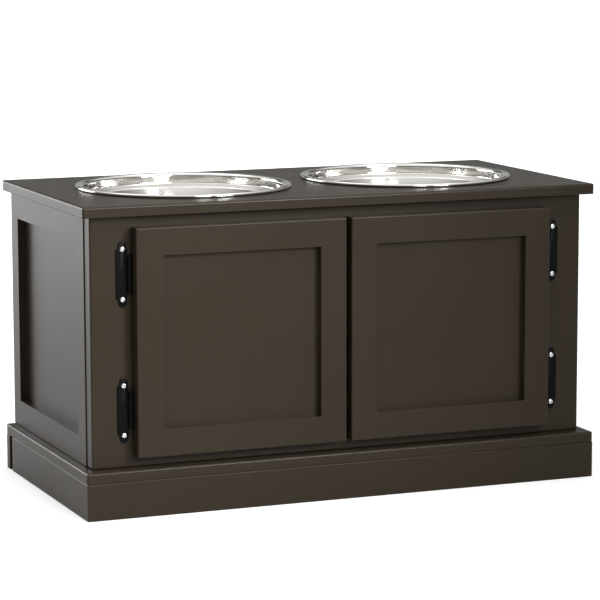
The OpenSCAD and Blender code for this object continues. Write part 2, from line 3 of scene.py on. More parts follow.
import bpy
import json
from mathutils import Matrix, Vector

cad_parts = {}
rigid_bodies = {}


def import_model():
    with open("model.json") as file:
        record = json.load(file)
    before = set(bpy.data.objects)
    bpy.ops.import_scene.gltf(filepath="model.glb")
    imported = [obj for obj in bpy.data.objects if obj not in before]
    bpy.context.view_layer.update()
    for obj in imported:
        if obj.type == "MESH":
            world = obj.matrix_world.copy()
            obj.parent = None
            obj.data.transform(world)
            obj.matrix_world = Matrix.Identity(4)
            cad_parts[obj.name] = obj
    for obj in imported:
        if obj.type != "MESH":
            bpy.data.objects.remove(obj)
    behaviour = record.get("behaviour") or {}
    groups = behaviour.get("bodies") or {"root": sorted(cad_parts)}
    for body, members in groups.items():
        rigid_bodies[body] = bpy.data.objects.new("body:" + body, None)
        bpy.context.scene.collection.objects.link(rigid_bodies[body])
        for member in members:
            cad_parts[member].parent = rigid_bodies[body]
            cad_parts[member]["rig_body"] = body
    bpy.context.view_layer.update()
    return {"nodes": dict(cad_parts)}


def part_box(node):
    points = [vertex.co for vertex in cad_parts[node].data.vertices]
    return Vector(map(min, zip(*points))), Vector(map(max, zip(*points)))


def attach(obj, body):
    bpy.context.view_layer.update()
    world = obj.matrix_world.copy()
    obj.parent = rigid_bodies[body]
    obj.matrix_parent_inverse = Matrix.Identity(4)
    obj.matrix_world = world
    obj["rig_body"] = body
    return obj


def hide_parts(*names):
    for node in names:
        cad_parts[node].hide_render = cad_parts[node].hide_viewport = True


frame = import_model()
# The record's slot of each node, read before any finish takes its place
SLOT_OF = {name: node.material_slots[0].name for name, node in frame["nodes"].items()}

import json
import math

import bmesh
import bpy
from bpy.props import FloatProperty, FloatVectorProperty, IntProperty, PointerProperty
from bpy.types import Operator, Panel, PropertyGroup
from mathutils import Matrix, Quaternion, Vector

bl_info = {
    "name": "Raised Feeding Cupboard",
    "version": (1, 0, 0),
    "blender": (4, 5, 0),
    "location": "3D View > Sidebar > Feeder",
    "description": "Bowls, hinges, screws, finishes and studio for a raised feeding cupboard",
    "category": "Object",
}

MM = 0.001
SIDES = {"left": -1, "right": 1}
LEVELS = ("upper", "lower")

# Points closer together than this are one point
NEAR = 0.001 * MM
# Arrises that turn by more than the first angle are rounded, and shading breaks over the second
ARRIS_ANGLE = math.radians(60)
SHARP_ANGLE = math.radians(32)
# Faces round the small turned shapes
KNUCKLE_STEPS = 40
PIN_STEPS = 32
HEAD_STEPS = 32
HOLE_STEPS = 24
NAIL_STEPS = 24


# ---------------------------------------------------------------- places in the frame


def middle(node):
    """Middle of a node's box."""
    low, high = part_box(node)
    return (Vector(low) + Vector(high)) / 2


def corner(node, high=False):
    """Lowest corner of a node's box, or its highest."""
    return Vector(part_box(node)[1 if high else 0])


def body_of(node):
    return frame["nodes"][node]["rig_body"]


# ---------------------------------------------------------------- settings


def length(name, description, millimetres):
    """A length, with its default in millimetres."""
    return FloatProperty(
        name=name, description=description, default=millimetres * MM, min=0.0, unit="LENGTH",
        subtype="DISTANCE",
    )


def angle(name, description, degrees):
    """An angle, with its default in degrees."""
    return FloatProperty(
        name=name, description=description, default=math.radians(degrees), subtype="ANGLE"
    )


def amount(name, description, default):
    """A share between 0 and 1."""
    return FloatProperty(
        name=name, description=description, default=default, min=0.0, max=1.0, subtype="FACTOR"
    )


def watts(name, description, default):
    """The strength of a lamp."""
    return FloatProperty(name=name, description=description + " in watts", default=default, min=0.0)


def colour(name, description, default):
    return FloatVectorProperty(
        name=name, description=description, default=default, size=3, min=0.0, max=1.0,
        subtype="COLOR",
    )


class PaintSettings(PropertyGroup):
    base: colour("Colour", "Colour of the lacquer on every board", (0.0238, 0.0175, 0.0110))
    worn: colour(
        "Thin colour", "Colour where the lacquer lies a little thinner", (0.0284, 0.0212, 0.0136)
    )
    roughness: amount("Roughness", "How dull the lacquer is", 0.30)
    peel: length("Peel", "Height of the ripple that spraying leaves", 0.012)
    nib: length("Nib", "Height of the fine nibs in the lacquer", 0.004)


class MetalSettings(PropertyGroup):
    steel: colour("Steel", "Colour of the bowls' steel", (0.80, 0.785, 0.75))
    steel_roughness: amount("Steel roughness", "How dull the polished steel is", 0.10)
    zinc: colour("Zinc", "Colour of the bright screws", (0.86, 0.86, 0.85))
    plate: colour("Plate", "Colour of the dull plated fittings", (0.60, 0.61, 0.62))
    black: colour("Black", "Colour of the hinges' powder coat", (0.0032, 0.0033, 0.0035))


class BowlSettings(PropertyGroup):
    steel: length("Steel", "Thickness of the steel", 1.0)
    bead: length("Bead", "Radius of the rolled rim", 2.0)
    drop: length("Drop", "Height of the flange under the top of the bead", 0.2)
    wall: length("Wall", "Distance from the rim to the outside of the straight wall", 8.5)
    lip: length("Lip", "Radius of the bend from flange to wall, under the steel", 2.5)
    shoulder: length("Shoulder", "Radius of the bend into the shoulder, under the steel", 3.0)
    shoulder_down: length(
        "Shoulder depth", "Depth of that bend's middle under the top of the bead", 10.55
    )
    shoulder_run: length("Shoulder width", "Length of the sloping shoulder", 7.0)
    step: length("Step", "Radius of the bend from shoulder to taper, under the steel", 1.3)
    heel: length("Heel", "Radius of the bend from taper to base, under the steel", 8.0)
    ring: length("Ring", "Width of the flat ring from the heel to the raised middle", 12.0)
    rise: length("Rise", "Height of the raised middle of the base", 1.0)
    tilt: angle("Tilt", "Slope of the shoulder", 20)
    taper: angle("Taper", "Lean of the wall under the shoulder", 18)
    steps: IntProperty(name="Steps", description="Faces round a bowl", default=144, min=32)


class HingeSettings(PropertyGroup):
    barrel: length("Barrel", "Radius of the barrel", 2.5)
    barrel_height: length("Barrel height", "Length of the barrel without the pin's heads", 38.0)
    knuckle: length("Knuckle", "Half the length of the door's knuckle", 9.7)
    gap: length("Gap", "Room between two knuckles", 0.3)
    bore: length("Bore", "Radius of the barrel's bore", 1.25)
    stand: length("Stand", "Distance of the axis from the face frame", 3.6)
    leaf: length("Frame leaf", "Thickness of the leaf on the face frame", 1.6)
    leaf_width: length("Frame leaf width", "Reach of that leaf from the axis", 14.2)
    shoulder: length("Shoulder height", "Half the height of its wide part", 27.4)
    ear_x: length("Ear place", "Distance of the ears' middle from the axis", 7.2)
    ear: length("Ear", "Radius of the ears", 4.5)
    ear_height: length("Ear height", "Half the height over both ears", 35.0)
    ear_screw: length("Ear screw", "Distance of its screws from mid height", 26.8)
    door_leaf: length("Door leaf", "Thickness of the leaf behind the door", 1.5)
    door_leaf_width: length("Door leaf width", "Reach of that leaf from the axis", 26.0)
    door_leaf_height: length("Door leaf height", "Half its height", 28.0)
    door_edge: length("Door edge", "Distance from the axis to the door's edge", 3.3)
    door_screw_x: length("Door screw place", "Distance of its screws from the axis", 19.0)
    door_screw: length("Door screw", "Distance of its screws from mid height", 18.0)
    arris: length("Arris", "Radius on the leaves' arrises", 0.35)


class ScrewSettings(PropertyGroup):
    pan: length("Pan head", "Radius of the domed heads", 3.0)
    pan_height: length("Pan height", "Height of the domed heads", 1.8)
    pan_shank: length("Pan shank", "Radius of their shanks", 1.5)
    pan_length: length("Pan length", "Length of their shanks", 12.0)
    small: length("Small head", "Radius of the small flush heads", 3.2)
    small_shank: length("Small shank", "Radius of their shanks", 1.4)
    small_length: length("Small length", "Length of the small screws", 10.0)
    large: length("Long head", "Radius of the long screws' flush heads", 3.8)
    large_shank: length("Long shank", "Radius of their shanks", 1.9)
    large_length: length("Long length", "Length of the long screws", 25.0)
    slot_width: length("Slot", "Width of the cross recess", 1.0)
    slot_depth: length("Slot depth", "Depth of the cross recess", 1.1)
    nail: length("Nail head", "Radius of the nails' heads", 2.4)
    nail_height: length("Nail head height", "Height of the nails' heads", 0.7)
    nail_shank: length("Nail", "Radius of the nails", 0.9)
    nail_length: length("Nail length", "Length of the nails under their heads", 14.0)


class StudioSettings(PropertyGroup):
    camera: FloatVectorProperty(
        name="Camera", description="Place of the camera", default=(-1.1668, -2.8760, 0.6646),
        size=3, subtype="XYZ",
    )
    yaw: angle("Yaw", "Camera's turn to the right", 22.15)
    pitch: angle("Pitch", "Camera's dip", 8.53)
    roll: angle("Roll", "Camera's roll", -0.12)
    lens: FloatProperty(name="Lens", description="Focal length on a 36 mm sensor", default=165.8)
    floor: colour("Floor", "Colour of the floor", (0.80, 0.80, 0.80))
    lift: amount("Lift", "How far the camera sees the floor lifted towards white", 0.35)
    overhead: watts("Overhead", "Strength of the soft box overhead", 1.5)
    back: watts("Back", "Strength of the wide lamp over the floor behind", 565.0)
    left: watts("Left", "Strength of the soft box behind on the left", 39.0)
    front: watts("Front", "Strength of the soft box in front", 1.62)
    right: watts("Right", "Strength of the soft box at the front right", 3.3)


# ---------------------------------------------------------------- materials


class Wire:
    """An output of a node tree. A sum written with it adds a Math node."""

    def __init__(self, tree, socket):
        self.tree = tree
        self.socket = socket

    def __add__(self, other):
        node = self.tree.nodes.new("ShaderNodeMath")
        node.operation = "ADD"
        for socket, value in zip(node.inputs, (self, other)):
            join(self.tree, value, socket)
        return Wire(self.tree, node.outputs[0])


def join(tree, value, socket):
    """Links a wire to a socket, or sets the socket to a plain value."""
    if isinstance(value, Wire):
        tree.links.new(value.socket, socket)
    else:
        socket.default_value = value


def live(sockets, key):
    """The socket of that place, or the first one in use with that name."""
    if isinstance(key, int):
        return sockets[key]
    return next(socket for socket in sockets if socket.enabled and socket.name == key)


class Tree:
    """A node tree under construction, with one way to add any node."""

    def __init__(self, tree):
        self.tree = tree

    def node(self, kind, settings=None, inputs=None, output=None):
        """Adds a node and returns its output of that name, or its first one in use."""
        node = self.tree.nodes.new("ShaderNode" + kind)
        for name, value in (settings or {}).items():
            setattr(node, name, value)
        for key, value in (inputs or {}).items():
            join(self.tree, value, live(node.inputs, key))
        if output is None:
            output = next(socket.name for socket in node.outputs if socket.enabled)
        return Wire(self.tree, live(node.outputs, output))

    def greys(self, value, stops):
        """Grey that follows a value through stops, each a place and a shade."""
        node = self.tree.nodes.new("ShaderNodeValToRGB")
        ramp = node.color_ramp.elements
        while len(ramp) < len(stops):
            ramp.new(0.5)
        for element, (place, shade) in zip(ramp, stops):
            element.position = place
            element.color = (shade, shade, shade, 1)
        join(self.tree, value, node.inputs["Fac"])
        return Wire(self.tree, node.outputs["Color"])

    def blend(self, factor, first, second):
        """Colour between first and second."""
        first, second = (c if isinstance(c, Wire) else (*c, 1) for c in (first, second))
        inputs = {"Factor": factor, "A": first, "B": second}
        return self.node("Mix", {"data_type": "RGBA"}, inputs)


class Finish(Tree):
    """One material: fixed values go on its shader's sockets, and patterns into a few of them."""

    def __init__(self, name, base_color, **fixed):
        self.material = bpy.data.materials.new(name)
        self.material.use_nodes = True
        self.material.diffuse_color = (*base_color, 1)
        super().__init__(self.material.node_tree)
        self.shader = self.tree.nodes["Principled BSDF"]
        self.plug(base_color=(*base_color, 1), **fixed)

    def plug(self, **values):
        """Puts wires and plain values on the shader's sockets."""
        for key, value in values.items():
            name = key.replace("_", " ").title().replace("Ior", "IOR")
            join(self.tree, value, self.shader.inputs[name])
        return self

    def place(self, scale=(1, 1, 1), about=(0, 0, 0)):
        """Object coordinates in metres, measured from a point and stretched."""
        inputs = {
            "Vector": self.node("TexCoord", output="Object"),
            "Location": [-s * a for s, a in zip(scale, about)],
            "Scale": scale,
        }
        return self.node("Mapping", {"vector_type": "POINT"}, inputs)

    def noise(self, where, scale, detail=2.0, roughness=0.5):
        """Noise with about scale lumps to a metre."""
        inputs = {"Vector": where, "Scale": scale, "Detail": detail, "Roughness": roughness}
        return self.node("TexNoise", {}, inputs, "Fac")

    def noise_along(self, value, scale, detail):
        """Noise that changes with one value only."""
        inputs = {"W": value, "Scale": scale, "Detail": detail}
        return self.node("TexNoise", {"noise_dimensions": "1D"}, inputs, "Fac")

    def remap(self, value, low, high, to_low, to_high):
        """Value between low and high, stretched smoothly to other limits."""
        inputs = {"Value": value, "From Min": low, "From Max": high}
        inputs.update({"To Min": to_low, "To Max": to_high})
        return self.node("MapRange", {"interpolation_type": "SMOOTHSTEP"}, inputs)

    def bump(self, height, depth, under=None):
        """Normal of a surface whose height runs from 0 to depth, in metres."""
        inputs = {"Height": height, "Distance": depth, "Strength": 1.0}
        if under is not None:
            inputs["Normal"] = under
        return self.node("Bump", {}, inputs)


def lacquer(paint):
    """Sprayed satin lacquer: a soft ripple, fine nibs, and faint clouds in gloss and colour."""
    dull = paint.roughness
    finish = Finish("dark lacquer", tuple(paint.base), roughness=dull, ior=1.25)
    where = finish.place()
    clouds = finish.noise(where, 9.0, 3.0, 0.55)
    specks = finish.noise(where, 260.0, 2.0, 0.6)
    thin = finish.remap(clouds, 0.35, 0.72, 0.0, 0.25)
    thin = thin + finish.remap(specks, 0.60, 0.78, 0.0, 0.2)
    shade = finish.blend(thin, paint.base, paint.worn)
    gloss = finish.remap(clouds, 0.3, 0.7, dull - 0.01, dull + 0.015)
    gloss = gloss + finish.remap(specks, 0.4, 0.75, -0.005, 0.02)
    ripple = finish.bump(finish.noise(where, 210.0, 1.0), paint.peel)
    nibs = finish.bump(finish.noise(where, 1500.0, 2.0, 0.6), paint.nib, ripple)
    return finish.plug(base_color=shade, roughness=gloss, normal=nibs).material


def planed_wood(along):
    """Planed softwood with its grain along one axis."""
    name = "planed wood along " + "XYZ"[along]
    finish = Finish(name, (0.52, 0.37, 0.22), roughness=0.62)
    stretch = [60.0] * 3
    stretch[along] = 2.2
    grain = finish.noise(finish.place(stretch), 1.0, 4.0, 0.6)
    waves = {"Vector": finish.place([s * 0.5 for s in stretch]), "Scale": 2.0}
    waves.update({"Distortion": 2.5, "Detail": 2.0})
    bands = {"wave_type": "BANDS", "bands_direction": "DIAGONAL"}
    rings = finish.node("TexWave", bands, waves, "Fac")
    stretch[along] = 25.0
    pores = finish.noise(finish.place([s * 12 for s in stretch]), 1.0, 2.0, 0.5)
    shade = finish.blend(rings, (0.62, 0.45, 0.27), (0.46, 0.30, 0.155))
    dark = finish.remap(grain, 0.35, 0.7, 0.0, 0.5)
    shade = finish.blend(dark, shade, (0.36, 0.225, 0.11))
    gloss = finish.remap(pores, 0.3, 0.7, 0.56, 0.72)
    skin = finish.bump(pores, 0.03 * MM)
    return finish.plug(base_color=shade, roughness=gloss, normal=skin).material


def spun_steel(metal, side, about):
    """Polished steel with the fine rings that polishing on a lathe leaves round a point."""
    dull = metal.steel_roughness
    name = f"polished steel of the {side} bowl"
    finish = Finish(name, tuple(metal.steel), metallic=1.0, roughness=dull)
    flat = finish.place((1, 1, 0), (about.x, about.y, 0))
    radius = finish.node("VectorMath", {"operation": "LENGTH"}, {0: flat}, "Value")
    rings = finish.noise_along(radius, 2600.0, 3.0)
    bands = finish.noise_along(radius, 160.0, 1.0)
    where = finish.place()
    waves = finish.noise(where, 16.0, 1.0)
    smears = finish.noise(where, 34.0, 3.0, 0.6)
    gloss = finish.remap(smears, 0.35, 0.75, dull - 0.03, dull + 0.07)
    gloss = gloss + finish.remap(rings, 0.3, 0.7, -0.015, 0.02)
    smeared = [0.93 * c for c in metal.steel]
    shade = finish.blend(finish.remap(smears, 0.5, 0.8, 0.0, 0.4), metal.steel, smeared)
    skin = finish.bump(waves, 0.8 * MM)
    skin = finish.bump(bands, 0.01 * MM, skin)
    skin = finish.bump(rings, 0.0003 * MM, skin)
    return finish.plug(base_color=shade, roughness=gloss, normal=skin).material


def powder_coat(metal):
    """Black satin powder coat with its fine pebbling, and a painted highlight on the pebbles' tops.
    """
    finish = Finish("black powder coat", tuple(metal.black), roughness=0.36, ior=1.14)
    where = finish.place()
    pebbles = finish.noise(where, 900.0, 2.0)
    # Painted highlight: the raised tops of the pebbles are coloured lighter, as if they caught the
    # light
    pebble_top_highlight = finish.remap(pebbles, 0.55, 0.75, 0.0, 0.6)
    shade = finish.blend(pebble_top_highlight, metal.black, (0.0060, 0.0061, 0.0064))
    gloss = finish.remap(finish.noise(where, 90.0, 2.0), 0.3, 0.7, 0.30, 0.42)
    skin = finish.bump(pebbles, 0.02 * MM)
    return finish.plug(base_color=shade, roughness=gloss, normal=skin).material


def bright_zinc(metal):
    """Bright plated steel with faint tumbling marks."""
    finish = Finish("bright zinc", tuple(metal.zinc), metallic=1.0, roughness=0.22)
    where = finish.place()
    marks = finish.noise(where, 1800.0, 2.0, 0.6)
    shade = finish.blend(finish.noise(where, 120.0, 2.0), metal.zinc, (0.78, 0.79, 0.80))
    gloss = finish.remap(marks, 0.3, 0.7, 0.17, 0.30)
    skin = finish.bump(marks, 0.003 * MM)
    return finish.plug(base_color=shade, roughness=gloss, normal=skin).material


def dull_plate(metal):
    """Dull plated steel with a fine spangle, one material for every fitting that has it."""
    name = "dull plate"
    if name in bpy.data.materials:
        return bpy.data.materials[name]
    finish = Finish(name, tuple(metal.plate), metallic=1.0, roughness=0.38)
    where = finish.place()
    cells = {"Vector": where, "Scale": 420.0}
    spangle = finish.node("TexVoronoi", {"feature": "F1"}, cells, "Distance")
    shade = finish.blend(
        finish.remap(spangle, 0.1, 0.7, 0.0, 1.0), metal.plate, (0.50, 0.51, 0.53)
    )
    gloss = finish.remap(finish.noise(where, 300.0), 0.3, 0.7, 0.30, 0.46)
    skin = finish.bump(spangle, 0.004 * MM)
    return finish.plug(base_color=shade, roughness=gloss, normal=skin).material


def moulded_plastic():
    """Dark brown moulded plastic with a spark-eroded skin."""
    finish = Finish("moulded plastic", (0.030, 0.020, 0.014), roughness=0.45, ior=1.5)
    where = finish.place()
    sparks = finish.noise(where, 2400.0, 2.0, 0.6)
    shade = finish.blend(
        finish.noise(where, 60.0), (0.026, 0.017, 0.012), (0.036, 0.025, 0.018)
    )
    gloss = finish.remap(sparks, 0.3, 0.7, 0.38, 0.52)
    skin = finish.bump(sparks, 0.015 * MM)
    return finish.plug(base_color=shade, roughness=gloss, normal=skin).material


def coat(slot, material, nodes=None):
    """Gives a material to the nodes of one of the record's slots, or to the named ones of them."""
    chosen = [n for n in frame["nodes"] if SLOT_OF[n] == slot and (nodes is None or n in nodes)]
    if not chosen:
        raise RuntimeError(f"no node has the slot {slot}")
    for name in chosen:
        frame["nodes"][name].material_slots[0].material = material


# ---------------------------------------------------------------- meshes


def tidy(mesh):
    """Merges doubles and turns the faces outwards."""
    bmesh.ops.remove_doubles(mesh, verts=mesh.verts[:], dist=NEAR)
    bmesh.ops.recalc_face_normals(mesh, faces=mesh.faces[:])


def shift(mesh, x=0.0, y=0.0, z=0.0):
    bmesh.ops.translate(mesh, verts=mesh.verts[:], vec=(x, y, z))


class Section:
    """A line in the XZ plane, drawn on from its tip in straight runs and bends."""

    def __init__(self, x, z):
        self.mesh = bmesh.new()
        self.tip = bmesh.ops.create_vert(self.mesh, co=(x, 0, z))["vert"][0]

    def run(self, x, z):
        self.tip = bmesh.ops.extrude_vert_indiv(self.mesh, verts=[self.tip])["verts"][0]
        self.tip.co = (x, 0, z)
        return self

    def bend(self, x, z, degrees, steps=6):
        """Turns on round (x, z), anticlockwise seen with X to the right and Z up."""
        made = bmesh.ops.spin(
            self.mesh, geom=[self.tip], cent=(x, 0, z), axis=(0, -1, 0),
            angle=math.radians(degrees), steps=steps, use_merge=False, use_duplicate=False,
        )
        self.tip = next(g for g in made["geom_last"] if isinstance(g, bmesh.types.BMVert))
        return self

    def mirror(self):
        """Adds the line's mirror image over X."""
        mesh = self.mesh
        geometry = mesh.verts[:] + mesh.edges[:]
        bmesh.ops.mirror(mesh, geom=geometry, axis="Z", merge_dist=NEAR)

    def turned(self, steps):
        """The line spun round Z into a skin."""
        mesh = self.mesh
        bmesh.ops.spin(
            mesh, geom=mesh.verts[:] + mesh.edges[:], cent=(0, 0, 0), axis=(0, 0, 1),
            angle=math.tau, steps=steps, use_merge=True, use_duplicate=False,
        )
        tidy(mesh)
        return mesh


def add(mesh, other, matrix=None):
    """Adds another mesh to this one, turned and moved by a matrix, and frees it."""
    if matrix is not None:
        bmesh.ops.transform(other, matrix=matrix, verts=other.verts[:])
        if matrix.determinant() < 0:
            bmesh.ops.reverse_faces(other, faces=other.faces[:])
    data = bpy.data.meshes.new("part")
    other.to_mesh(data)
    other.free()
    mesh.from_mesh(data)
    bpy.data.meshes.remove(data)


def ease(mesh, radius):
    """Rounds every arris."""
    sharp = [e for e in mesh.edges if len(e.link_faces) == 2 and e.calc_face_angle() > ARRIS_ANGLE]
    bmesh.ops.bevel(
        mesh, geom=sharp, offset=radius, offset_type="OFFSET", segments=2, profile=0.5,
        affect="EDGES", material=-1, clamp_overlap=True,
    )
    tidy(mesh)


def circle(mesh, radius, steps, x=0.0, z=0.0, upright=True):
    """A ring of edges, in the XZ plane or flat at z."""
    turn = Matrix.Rotation(math.radians(90), 4, "X") if upright else Matrix()
    place = Matrix.Translation((x, 0, z)) @ turn
    ring = bmesh.ops.create_circle(mesh, radius=radius, segments=steps, matrix=place)
    return list({e for v in ring["verts"] for e in v.link_edges})


def plate(section, thickness, holes):
    """Makes a plate towards -Y, from half an outline drawn on one side of X, and with holes."""
    section.mirror()
    mesh = section.mesh
    bmesh.ops.remove_doubles(mesh, verts=mesh.verts[:], dist=NEAR)
    outline = mesh.edges[:]
    for x, z, radius in holes:
        outline += circle(mesh, radius, HOLE_STEPS, x, z)
    made = bmesh.ops.triangle_fill(
        mesh, use_beauty=True, use_dissolve=True, edges=outline, normal=(0, -1, 0)
    )
    faces = [g for g in made["geom"] if isinstance(g, bmesh.types.BMFace)]
    made = bmesh.ops.extrude_face_region(mesh, geom=faces)
    verts = [g for g in made["geom"] if isinstance(g, bmesh.types.BMVert)]
    bmesh.ops.translate(mesh, verts=verts, vec=(0, -thickness, 0))
    tidy(mesh)
    return mesh


def tube(inner, outer, low, high, steps, arris):
    """A length of tube round Z with eased ends."""
    section = Section(inner, low).run(outer, low).run(outer, high).run(inner, high)
    mesh = section.run(inner, low).turned(steps)
    ease(mesh, arris)
    return mesh


def piece(name, mesh, body, material, replaced):
    """Makes a mesh a piece that rides on a body and stands for a node."""
    data = bpy.data.meshes.new(name)
    mesh.to_mesh(data)
    mesh.free()
    data.materials.append(material)
    data.shade_smooth()
    data.set_sharp_from_angle(angle=SHARP_ANGLE)
    made = bpy.data.objects.new(name, data)
    bpy.context.scene.collection.objects.link(made)
    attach(made, body)
    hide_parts(replaced)
    return made


# ---------------------------------------------------------------- bowls


def toward(centre, radius, degrees):
    """The point at a distance and an angle from another one, in the section's plane."""
    turn = math.radians(degrees)
    return centre + radius * Vector((math.cos(turn), math.sin(turn)))


def bowl_section(bowl, rim):
    """The food side of a bowl from the middle of its base to the end of the rolled rim.

    The base lies at z = 0. The last number of each bend is its count of faces."""
    tilt, taper, steel = bowl.tilt, bowl.taper, bowl.steel
    top = rim.z
    flange = top - bowl.drop
    wall = rim.x - bowl.wall
    lip = Vector((wall + bowl.lip, flange - steel - bowl.lip))
    shoulder = Vector((wall - bowl.shoulder, top - bowl.shoulder_down))
    down = Vector((math.sin(tilt), -math.cos(tilt)))
    slope = Vector((math.cos(tilt), math.sin(tilt)))
    step = shoulder + (bowl.shoulder + bowl.step) * down - bowl.shoulder_run * slope
    bends = bowl.step + bowl.heel
    fall = step.y - bowl.heel + bends * math.sin(taper)
    heel_x = step.x - bends * math.cos(taper) - fall * math.tan(taper)
    ring = heel_x - bowl.ring
    # Two soft bends of 45 degrees lead from the ring up to the raised middle
    soft = bowl.rise / (2 - math.sqrt(2))
    start = ring - math.sqrt(2) * soft
    raised = steel + bowl.rise
    tilt, taper = math.degrees(tilt), math.degrees(taper)

    section = Section(0, raised).run(start / 2, raised).run(start, raised)
    section.bend(start, raised - soft, -45, 4).bend(ring, steel + soft, 45, 4)
    section.run(heel_x, steel).bend(heel_x, bowl.heel, 90 - taper, 12)
    run_on(section, toward(step, bowl.step + steel, 180 - taper), 6)
    section.bend(step.x, step.y, -(90 - tilt - taper), 8)
    section.run(*toward(shoulder, bowl.shoulder - steel, tilt - 90))
    section.bend(shoulder.x, shoulder.y, 90 - tilt, 8)
    section.run(wall - steel, lip.y).bend(lip.x, lip.y, -90, 8)
    # The rim rolls on over its top and nearly shut underneath
    lead = math.acos((bowl.bead - bowl.drop) / bowl.bead)
    section.run(rim.x - bowl.bead - bowl.bead * math.sin(lead), flange)
    roll = math.degrees(lead) + 250
    return section.bend(rim.x - bowl.bead, top - bowl.bead, -roll, 28)


def run_on(section, tip, parts):
    """A straight run in equal parts, so that its faces stay near square."""
    first = Vector((section.tip.co.x, section.tip.co.z))
    for i in range(1, parts + 1):
        section.run(*first.lerp(tip, i / parts))


class FEEDER_OT_spin_bowls(Operator):
    """Spin both bowls from one section, with the rolled rim and the stepped wall"""

    bl_idname = "feeder.spin_bowls"
    bl_label = "Spin the bowls"
    bl_options = {"REGISTER", "UNDO"}

    def execute(self, context):
        bowl = context.scene.feeder_bowl
        for side in SIDES:
            node = "bowl_" + side
            low, high = corner(node), corner(node, True)
            rim = Vector(((high.x - low.x) / 2, 0, high.z - low.z))
            mesh = bowl_section(bowl, rim).turned(bowl.steps)
            base = min(mesh.faces, key=lambda f: f.calc_center_median().xy.length)
            if base.normal.z < 0:
                bmesh.ops.reverse_faces(mesh, faces=mesh.faces[:])
            place = middle(node)
            shift(mesh, place.x, place.y, low.z)
            steel = spun_steel(context.scene.feeder_metal, side, place)
            made = piece(side + "_bowl_spun", mesh, body_of(node), steel, node)
            # A spun bowl has no sharp edge anywhere
            made.data.set_sharp_from_angle(angle=math.pi)
            wall = made.modifiers.new("Steel", "SOLIDIFY")
            wall.thickness = bowl.steel
            wall.offset = -1
            wall.use_even_offset = True
        return {"FINISHED"}


# ---------------------------------------------------------------- hinges


def knuckle(hinge, low, high):
    return tube(hinge.bore, hinge.barrel, low, high, KNUCKLE_STEPS, hinge.arris * 0.8)


def frame_leaf(hinge):
    """The leaf on the face frame, round the axis at X = 0 and Y = 0.

    It is a plate with an ear at each end and two knuckles."""
    half, ear = hinge.barrel_height / 2, hinge.ear
    inner = -hinge.barrel - 2 * hinge.gap
    room = hinge.knuckle + hinge.gap
    neck = -2 * MM
    corner_r = 2.5 * MM
    hole_r = 1.52 * MM
    centre = hinge.ear_height - ear
    outer = -hinge.leaf_width
    section = Section(inner, 0).run(inner, room).run(0, room).run(0, half).run(neck, half)
    section.run(neck, hinge.shoulder).run(-hinge.ear_x + ear, hinge.shoulder)
    section.run(-hinge.ear_x + ear, centre).bend(-hinge.ear_x, centre, 180, 16)
    section.run(-hinge.ear_x - ear, hinge.shoulder).run(outer + corner_r, hinge.shoulder)
    section.bend(outer + corner_r, hinge.shoulder - corner_r, 90).run(outer, 0)
    holes = [(-hinge.ear_x, s * hinge.ear_screw, hole_r) for s in (-1, 1)]
    mesh = plate(section, hinge.leaf, holes)
    shift(mesh, y=hinge.stand)
    ease(mesh, hinge.arris)
    add(mesh, knuckle(hinge, room, half))
    add(mesh, knuckle(hinge, -half, -room))
    return mesh


def door_leaf(hinge, back):
    """The leaf behind the door: a plate, its neck and the middle knuckle.

    Back is the plate's rear face."""
    edge, wide, high = hinge.door_edge, hinge.door_leaf_width, hinge.door_leaf_height
    corner_r = 3 * MM
    hole_r = 3.22 * MM
    bend_z = high - corner_r
    section = Section(0, 0).run(0, hinge.knuckle).run(edge, hinge.knuckle).run(edge, bend_z)
    section.bend(edge + corner_r, bend_z, -90).run(wide - corner_r, high)
    section.bend(wide - corner_r, bend_z, -90).run(wide, 0)
    holes = [(hinge.door_screw_x, s * hinge.door_screw, hole_r) for s in (-1, 1)]
    mesh = plate(section, hinge.door_leaf, holes)
    shift(mesh, y=back)
    ease(mesh, hinge.arris)
    add(mesh, knuckle(hinge, -hinge.knuckle, hinge.knuckle))
    return mesh


def hinge_pin(hinge):
    """The pin with a domed head at each end."""
    half = hinge.barrel_height / 2
    radius, head, collar = hinge.bore - 0.05 * MM, 2.1 * MM, half + 0.7 * MM
    section = Section(0, collar + 1 * MM).run(radius - 0.3 * MM, collar + 0.95 * MM)
    section.run(head - 0.5 * MM, collar + 0.5 * MM).run(head, collar - 0.1 * MM).run(head, half)
    section.run(radius, half).run(radius, 0)
    section.mirror()
    return section.turned(PIN_STEPS)


class FEEDER_OT_fit_hinges(Operator):
    """Make the four knuckled hinges: the leaves before and behind, and the pins"""

    bl_idname = "feeder.fit_hinges"
    bl_label = "Fit the hinges"
    bl_options = {"REGISTER", "UNDO"}

    def execute(self, context):
        hinge = context.scene.feeder_hinge
        black = powder_coat(context.scene.feeder_metal)
        for side, sign in SIDES.items():
            for level in LEVELS:
                stem = f"{side}_{level}_hinge_"
                axis = middle(stem + "pin")
                place = Matrix.Translation(axis) @ Matrix.Diagonal((-sign, 1, 1, 1))
                back = corner(stem + "door_leaf", True).y - axis.y
                parts = {
                    "frame_leaf": frame_leaf(hinge),
                    "door_leaf": door_leaf(hinge, back),
                    "pin": hinge_pin(hinge),
                }
                for part, shape in parts.items():
                    mesh = bmesh.new()
                    add(mesh, shape, place)
                    node = stem + part
                    piece(node + "_made", mesh, body_of(node), black, node)
        return {"FINISHED"}


# ---------------------------------------------------------------- screws and nails


